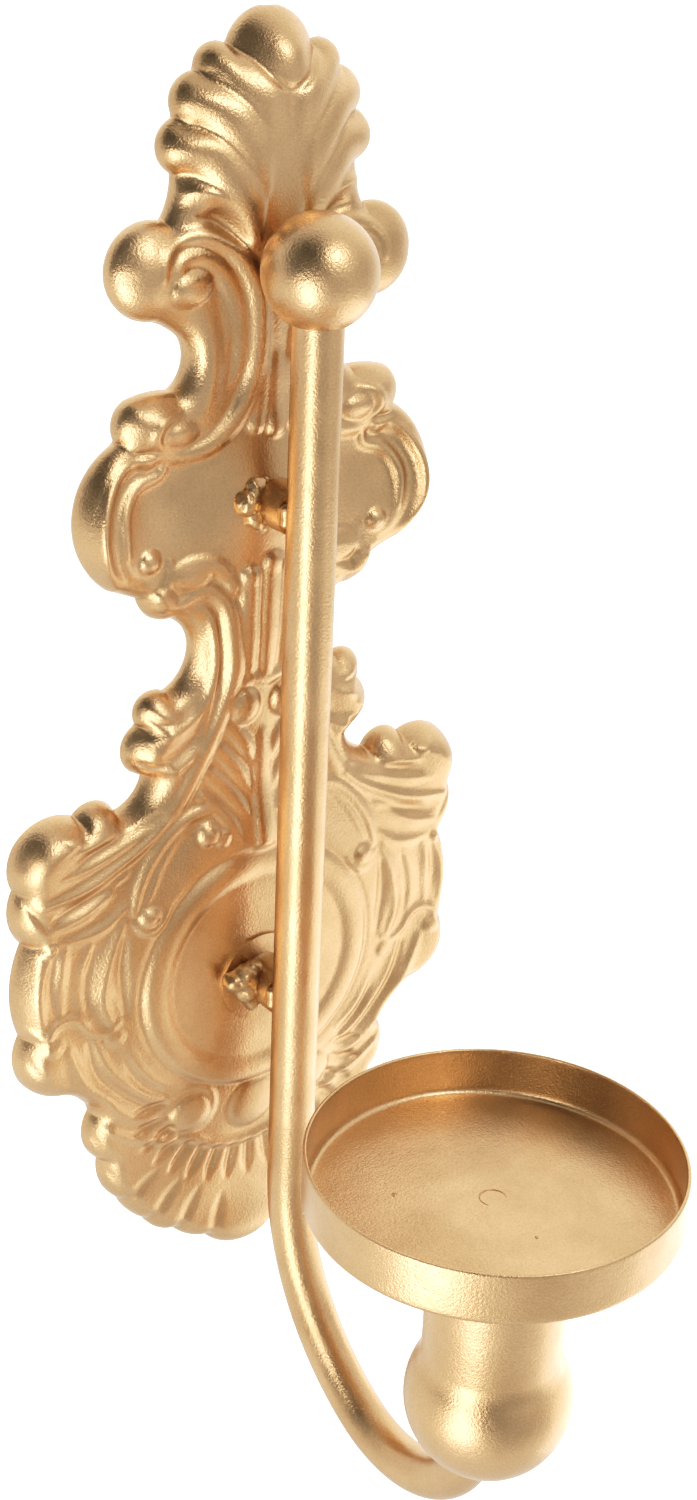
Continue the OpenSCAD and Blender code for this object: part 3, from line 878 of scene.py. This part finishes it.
def relief_field():
    """Height of the plate's face above the wall over the right half, before the border is rolled down."""
    ground = by_height(GROUND_LEVELS, FIELD_Z)
    for row in SWELLS:
        ground += swell(*row)
    up = np.zeros_like(ground)
    down = np.zeros_like(ground)
    lumps = np.zeros_like(ground)
    for row in RIDGES:
        ridge(up, *row)
    for row in CRESTS:
        crest(up, *row)
    for row in GROOVES + HOLLOWS:
        soft(down, *row)
    foot_flutes(down)
    for row in DOMES:
        dome(lumps, *row)
    relief = np.maximum(up, lumps) + 0.35 * np.minimum(up, lumps) - down
    field = ground + by_height(RELIEF_SHARES, FIELD_Z) * relief
    return medallion(melt_fingers(field))


def melt_fingers(field):
    """The palmette's fingers melt into the trough down its middle."""
    share = swell(0.0, 237.0, 4.2, 8.0, 1.0)
    return field * (1 - share) + blur(field, 10.0) * share


def smooth_step(value, low, high):
    """From 0 at low to 1 at high, without a kink at either."""
    t = np.clip((value - low) / (high - low), 0, 1)
    return t * t * (3 - 2 * t)


def medallion(field):
    """The round boss: a slightly domed floor inside a raised ring."""
    r = np.hypot(FIELD_X, FIELD_Z - RING_MIDDLE)
    floor = FLOOR_LEVEL + 0.8 * np.clip(1 - (r / RING_INNER) ** 2, 0, 1)
    ring = RING_LEVEL - 0.5 * ((r - 25.2) / 2.9) ** 2
    step_in = smooth_step(r, RING_INNER - 1.4, RING_INNER + 1.4)
    inside = floor * (1 - step_in) + ring * step_in
    leave = smooth_step(r, RING_OUTER - 0.8, RING_OUTER + 1.6)
    lift = 2.0 + 0.9 * np.clip((FIELD_Z - RING_MIDDLE) / RING_OUTER, 0, 1)
    outside = field + lift * (1 - smooth_step(r, RING_OUTER, RING_OUTER + 18.0))
    groove = 0.4 * np.exp(-(((r - RING_OUTER - 0.6) / 0.8) ** 2))
    return inside * (1 - leave) + (outside - groove) * leave


def blur(field, reach):
    """Gaussian blur, reach in cells, by rows and columns."""
    count = max(1, int(3 * reach))
    weights = np.exp(-(np.arange(-count, count + 1) ** 2) / (2 * reach * reach))
    weights /= weights.sum()
    padded = np.pad(field, count, mode="edge")
    padded[:, :count] = padded[:, 2 * count:count:-1]
    rows = sum(w * padded[k:k + field.shape[0], :] for k, w in enumerate(weights))
    return sum(w * rows[:, k:k + field.shape[1]] for k, w in enumerate(weights))


def calm_distance():
    """Distance inward from the outline over the field, without the creases along its middle lines."""
    x, z = FIELD_X.ravel(), FIELD_Z.ravel()
    inward = edge_distance(x, z) * np.where(inside_outline(x, z), 1, -1)
    inward = inward.reshape(FIELD_X.shape)
    share = smooth_step(inward, 0.5, 3.0)
    return inward * (1 - share) + blur(inward, 5.0) * share


def sample(field, x, z):
    """Reads a field at any points, mirrored to the left half."""
    u = np.clip(np.abs(x) / CELL, 0, field.shape[1] - 1.001)
    v = np.clip((z - GRID_Z[0]) / CELL, 0, field.shape[0] - 1.001)
    i, j = u.astype(int), v.astype(int)
    fu, fv = u - i, v - j
    low = field[j, i] * (1 - fu) + field[j, i + 1] * fu
    high = field[j + 1, i] * (1 - fu) + field[j + 1, i + 1] * fu
    return low * (1 - fv) + high * fv


def roll(distance, z):
    """Share of the way up from rim to face, at a distance from the outline."""
    t = np.clip(distance / by_height(ROLL_WIDTHS, z), 0, 1)
    power = by_height(ROLL_SHAPES, z)
    return (1 - (1 - t) ** power) ** (1 / power)


def tucked(loop, share):
    """The outline loop moved inward as the border tucks in towards the wall."""
    along = np.roll(loop, -1, axis=0) - np.roll(loop, 1, axis=0)
    inward = np.column_stack((-along[:, 1], along[:, 0]))
    inward /= np.linalg.norm(inward, axis=1)[:, None]
    for _ in range(3):
        inward = (np.roll(inward, 1, axis=0) + 2 * inward + np.roll(inward, -1, axis=0)) / 4
    reach = share * TUCK * by_height(RIM_LEVELS, loop[:, 1])
    return loop + inward * reach[:, None]


# ---- plate mesh

SHEET = 1.0  # thickness of the pressed sheet
# spacing of the plate's mesh points by distance from the outline: from, to, spacing
FRONT_STEPS = ((0.12, 0.9, 0.24), (0.9, 2.4, 0.34), (2.4, 99.0, 0.5))
BACK_STEPS = ((3.2, 5.5, 0.6), (5.5, 99.0, 1.1))


def inside_points(steps):
    """Staggered points inside the outline, closer together near it."""
    found = []
    for low, high, spacing in steps:
        xs = np.arange(0.0, 58.0, spacing)
        zs = np.arange(-12.0, 262.0, spacing * 0.866)
        x, z = np.meshgrid(xs, zs)
        x = x + 0.5 * spacing * (np.arange(len(zs)) % 2)[:, None]
        x, z = x.ravel(), z.ravel()
        keep = inside_outline(x, z)
        x, z = x[keep], z[keep]
        distance = edge_distance(x, z)
        keep = (distance >= low) & (distance < high)
        x, z = x[keep], z[keep]
        apart = x > 1e-6
        found.append(np.column_stack((x, z)))
        found.append(np.column_stack((-x[apart], z[apart])))
    return np.vstack(found)


def inside_outline(x, z):
    """Even-odd test against the outline's right half."""
    crossings = np.zeros(x.shape, int)
    for (ax, az), (bx, bz) in zip(HALF_CLOSED, HALF_CLOSED[1:]):
        if az == bz:
            continue
        spans = (az > z) != (bz > z)
        crossings += spans & (x < ax + (z - az) * (bx - ax) / (bz - az))
    return crossings % 2 == 1


def full_outline():
    """The whole outline, anticlockwise as seen from the front."""
    left = HALF * (-1, 1)
    loop = np.vstack((HALF, left[::-1]))
    return loop[::-1]


def triangulate(loop, extra):
    """Triangles over the outline's loop and the points inside it. The loop's points stay first."""
    points = [Vector(p) for p in np.vstack((loop, extra))]
    face = list(range(len(loop)))
    result = geometry.delaunay_2d_cdt(points, [], [face], 1, 1e-5)
    flat, faces = result[0], result[2]
    return np.array([(p.x, p.y) for p in flat]), faces


def band(front_start, back_start, count):
    """Quads between two loops of the border."""
    quads = []
    for k in range(count):
        after = (k + 1) % count
        quads.append((front_start + after, front_start + k, back_start + k, back_start + after))
    return quads


# the border behind its widest line: share of the way back to the wall, share of the tuck
BORDER_RINGS = ((0.3, 0.12), (0.6, 0.42), (0.86, 0.80))


def face_heights(field, x, z, rim_count):
    """Height of the plate's face at each point. The first points are the rim itself."""
    distance = np.clip(sample(calm_distance(), x, z), 0, None)
    near = edge_distance(x, z)
    distance = np.where(near < 0.5, near, distance)
    distance[:rim_count] = 0.0
    rim = by_height(RIM_LEVELS, z)
    height = rim + roll(distance, z) * (sample(field, x, z) - rim)
    wander = np.array([noise.noise((a / 9.0, b / 9.0, 3.0)) for a, b in zip(x, z)])
    return height + 0.12 * wander * np.clip(distance / 4.0, 0, 1)


def back_heights(field, x, z, rim_count):
    """Height of the hollow back at each point, a sheet's thickness under the face."""
    behind = edge_distance(x, z) - TUCK * by_height(RIM_LEVELS, z) - 1.2 * SHEET
    calm = blur(field, 6.0)
    lower = np.minimum(sample(calm, x, z), sample(field, x, z)) - 1.1 * SHEET
    height = roll(np.clip(behind, 0, None), z) * lower
    height[:rim_count] = 0.0
    return height


def paint_shade_in_hollows(mesh, field, x, z):
    """Stores how far each face point lies under its surroundings, as painted shade that darkens the paint in
    the hollows.
    """
    wide = blur(field, 9.0)
    dip = np.clip((sample(wide, x, z) - sample(field, x, z)) / 1.4, 0, 1)
    values = np.zeros(len(mesh.vertices), np.float32)
    # the painted shade: up to a quarter of the way to the dark colour, deepest in the hollows
    values[:len(x)] = 0.25 * dip
    hollow = mesh.attributes.new("hollow", "FLOAT", "POINT")
    hollow.data.foreach_set("value", values)


def make_plate():
    """The pressed sheet: its relief, a border that tucks in to the wall and a hollow back."""
    loop = full_outline()
    count = len(loop)
    field = blur(relief_field(), 1.6)
    fine, faces = triangulate(loop, inside_points(FRONT_STEPS))
    x, z = fine[:, 0], fine[:, 1]
    points = [np.column_stack((x, -face_heights(field, x, z, count), z))]
    every = [tuple(f) for f in faces]

    start = 0
    offset = len(x)
    rim = by_height(RIM_LEVELS, loop[:, 1])
    for back_share, tuck_share in BORDER_RINGS:
        inner = tucked(loop, tuck_share)
        points.append(np.column_stack((inner[:, 0], -rim * (1 - back_share), inner[:, 1])))
        every += band(start, offset, count)
        start = offset
        offset += count

    coarse, back_faces = triangulate(tucked(loop, 1.0), inside_points(BACK_STEPS))
    back_x, back_z = coarse[:, 0], coarse[:, 1]
    points.append(np.column_stack((back_x, -back_heights(field, back_x, back_z, count), back_z)))
    every += band(start, offset, count)
    every += [tuple(offset + v for v in reversed(f)) for f in back_faces]
    mesh = mesh_from("plate_relief", np.vstack(points), every)
    paint_shade_in_hollows(mesh, field, x, z)
    new_piece("plate_relief", mesh, GOLD, PAINT_SLOT, "backplate", sharp=62)


# ---- arm, ball, bulb and cup

# the arm's bends: height where the first starts, their radii, and their ends in degrees, the last in the bulb
BEND_START = 18.3
BEND_WIDE = 50.0
BEND_TIGHT = 27.0
BEND_JOIN = 66.0
BEND_END = 172.0
INSET = 0.02  # how far a turned skin stays inside its CAD node


def bend(centre, radius, start, end, steps):
    """Points after the first on an arc of the arm's centreline, angles in degrees from level."""
    angles = np.radians(np.linspace(start, end, steps)[1:])
    return [(0.0, centre[0] + radius * math.cos(a), centre[1] - radius * math.sin(a)) for a in angles]


def arm_path():
    """Centreline of the J-shaped arm: straight down, a wide bend, a tight bend and up into the bulb."""
    _, high = node_box("arm_tube")
    axis_y = node_middle("ball_finial")[1]
    path = [(0.0, axis_y, z) for z in np.linspace(high[2], BEND_START, 90)]
    centre = np.array((axis_y - BEND_WIDE, BEND_START))
    path += bend(centre, BEND_WIDE, 0, BEND_JOIN, 50)
    turn = math.radians(BEND_JOIN)
    centre = centre + (BEND_WIDE - BEND_TIGHT) * np.array((math.cos(turn), -math.sin(turn)))
    path += bend(centre, BEND_TIGHT, BEND_JOIN, BEND_END, 70)
    return path


def make_arm():
    path = arm_path()
    radius = node_radius("arm_tube") - INSET
    mesh = sweep("arm", path, [radius] * len(path), 64)
    new_piece("arm", mesh, GOLD, PAINT_SLOT, "arm_tube", sharp=50)


def make_ball():
    """The ball on the tube's top, with a shallow seat where the tube enters it."""
    centre = node_middle("ball_finial")
    radius = node_radius("ball_finial")
    seat = -math.degrees(math.acos(5.4 / radius))
    profile = [(0.0, centre[2] + radius * math.sin(math.radians(seat)) + 0.25)]
    profile += [(4.6, profile[0][1]), (5.15, profile[0][1] - 0.1)]
    profile += corner((0.0, centre[2]), radius, seat + 1.0, 88.0, 56)
    profile += [(0.0, centre[2] + radius)]
    mesh = lathe("ball", profile, centre, 128)
    new_piece("ball", mesh, GOLD, PAINT_SLOT, "ball_finial", sharp=45)


def make_bulb():
    """The bulb, which runs into its neck in a wide fillet, and the neck up to the cup."""
    low, high = node_box("bulb")
    _, neck_high = node_box("bulb_neck")
    radius = node_radius("bulb")
    neck = node_radius("bulb_neck")
    axis = node_middle("bulb_neck")
    centre_z = low[2] + radius
    fillet = 9.0
    fillet_rise = math.sqrt((radius + fillet) ** 2 - (neck + fillet) ** 2)
    meet = math.degrees(math.asin(fillet_rise / (radius + fillet)))
    profile = [(0.0, low[2])]
    profile += corner((0.0, centre_z), radius, -88.0, meet, 60)
    profile += corner((neck + fillet, centre_z + fillet_rise), fillet, 180.0 + meet, 180.0, 14)[1:]
    top = centre_z + fillet_rise
    profile += [(neck + 0.005, top + 0.2), (neck - 0.03, top + 1.2), (0.0, top + 1.2)]
    mesh = lathe("bulb_shell", profile, axis, 144)
    new_piece("bulb_shell", mesh, GOLD, PAINT_SLOT, "bulb", sharp=40)

    top = neck_high[2] - INSET
    profile = [(0.0, high[2] - 0.6), (neck, high[2] - 0.6)]
    profile += [(neck, z) for z in np.linspace(high[2], top - 0.6, 8)]
    profile += [(neck - 0.05, top - 0.2), (neck - 0.3, top), (0.0, top)]
    mesh = lathe("neck", profile, axis, 144)
    new_piece("neck", mesh, GOLD, PAINT_SLOT, "bulb_neck", sharp=40)


CUP_SHEET = 0.8  # thickness of the pan's sheet


def make_cup():
    """The pan: a rounded foot, an upright wall with a round lip and a small radius inside."""
    low, high = node_box("candle_cup")
    wall = CUP_SHEET
    outer = node_radius("candle_cup") - INSET
    inner = outer - wall
    under, rim = low[2], high[2]
    floor = under + wall
    profile = [(0.0, under)]
    profile += [(r, under) for r in np.linspace(4.0, outer - 1.6, 10)]
    profile += corner((outer - 1.4, under + 1.4), 1.4, -80, 0, 8)
    profile += [(outer, z) for z in np.linspace(under + 2.4, rim - 1.0, 6)]
    profile += corner((outer - wall / 2, rim - wall / 2), wall / 2, 0, 180, 9)
    profile += [(inner, z) for z in np.linspace(rim - 1.2, floor + 1.9, 6)]
    profile += corner((inner - 1.3, floor + 1.3), 1.3, 0, -86, 10)
    profile += [(r, floor) for r in np.linspace(inner - 1.8, 4.0, 10)]
    profile += [(0.0, floor)]
    mesh = lathe("cup", profile, node_middle("candle_cup"), 192, uneven=0.05)
    new_piece("cup", mesh, GOLD, PAINT_SLOT, "candle_cup", sharp=40)


# drops of paint on the cup's floor: across and back from its middle, radius
PAINT_DROPS = ((-15.3, 11.0, 0.75), (-1.0, -14.0, 0.4))


def make_cup_marks():
    """The weld's faint round print in the middle of the cup's floor, and two stray drops of paint."""
    low, _ = node_box("candle_cup")
    x, y, _ = node_middle("candle_cup")
    floor = low[2] + CUP_SHEET
    reach = 2.6
    steps = 40
    path = [
        (x + reach * math.cos(angle), y + reach * math.sin(angle), floor + 0.02)
        for angle in np.radians(np.linspace(-30, 215, steps))
    ]
    radii = [0.05 + 0.13 * math.sin(math.pi * k / (steps - 1)) for k in range(steps)]
    mesh = sweep("weld_print", path, radii, 12)
    new_piece("weld_print", mesh, GOLD, PAINT_SLOT)
    for number, (aside, forward, size) in enumerate(PAINT_DROPS, 1):
        centre = (x + aside, y + forward)
        profile = [(0.0, floor - 0.1), (size, floor - 0.1), (0.8 * size, floor + 0.08), (0.0, floor + 0.14)]
        name = f"paint_drop_{number}"
        mesh = lathe(name, profile, centre, 24, uneven=0.1)
        new_piece(name, mesh, WELD_GOLD, PAINT_SLOT)


# ---- posts, welds and hanger


def make_posts():
    """A bar from the arm to the plate, a little into both, with paint gathered thicker at the plate."""
    for name, node in (("post_upper", "upper_post"), ("post_lower", "lower_post")):
        low, high = node_box(node)
        centre = node_middle(node)
        radius = node_radius(node)
        stations = np.linspace(low[1] - 0.6, high[1] + 0.6, 48)
        path = [(centre[0], y, centre[2]) for y in stations]
        radii = [
            radius + 0.7 * math.exp(-(high[1] - y) / 1.3) + 0.05 * noise.noise((0.0, 0.4 * y, centre[2]))
            for y in stations
        ]
        new_piece(name, sweep(name, path, radii, 64), GOLD, PAINT_SLOT, node, sharp=40)


# drops of weld on the plate, to the left of each post: across, up from the post's middle, radius
UPPER_WELD = ((-6.8, 0.9, 2.9), (-5.0, 3.4, 2.4), (-5.2, -2.4, 2.5), (-3.4, -4.6, 1.8), (-2.4, 4.9, 1.5))
LOWER_WELD = ((-6.8, 3.0, 3.1), (-6.0, 0.0, 2.8), (-9.4, 2.8, 2.4), (-4.4, 4.4, 2.2), (-4.4, -3.4, 2.2))


def weld_drops(post, node, beads):
    """Drops of a plate weld round its post, sunk a little into the plate."""
    _, high = node_box(node)
    centre = node_middle(post)
    foot_y = high[1] - 1.4
    return [(centre[0] + across, foot_y - 0.45 * size, centre[2] + up, size) for across, up, size in beads]


def make_welds():
    """A lumpy weld at the plate end of each post, and a row of drops on both sides at its arm end."""
    for name, post, node, beads in (
        ("weld_upper_plate", "upper_post", "upper_plate_weld", UPPER_WELD),
        ("weld_lower_plate", "lower_post", "lower_plate_weld", LOWER_WELD),
    ):
        mesh = blobs(name, weld_drops(post, node, beads), rough=0.5)
        new_piece(name, mesh, WELD_GOLD, WELD_SLOT, node)
    for name, node in (("weld_upper_arm", "upper_arm_weld"), ("weld_lower_arm", "lower_arm_weld")):
        _, y, z = node_middle(node)
        drops = [(side * 3.4, y, z + lift, 1.25) for side in (-1, 1) for lift in (-1.4, -0.5, 0.5, 1.4)]
        new_piece(name, blobs(name, drops, rough=0.15), WELD_GOLD, WELD_SLOT, node)


def finish_cad_nodes():
    """Carried-over CAD nodes take the same procedural finishes."""
    nodes = frame["nodes"]
    finishes = {
        "centre_disc": GOLD,
        "hanger_strap": STEEL,
        "hanger_welds": WELD_GOLD,
        "arm_bulb_weld": WELD_GOLD,
        "cup_plug_weld": WELD_GOLD,
    }
    for name, material in finishes.items():
        mesh = nodes[name].data
        mesh.materials.clear()
        mesh.materials.append(material)


make_camera()
make_world()
make_soft_boxes()
make_floor()
make_plate()
make_arm()
make_ball()
make_bulb()
make_cup()
make_cup_marks()
make_posts()
make_welds()
finish_cad_nodes()

develop_picture()
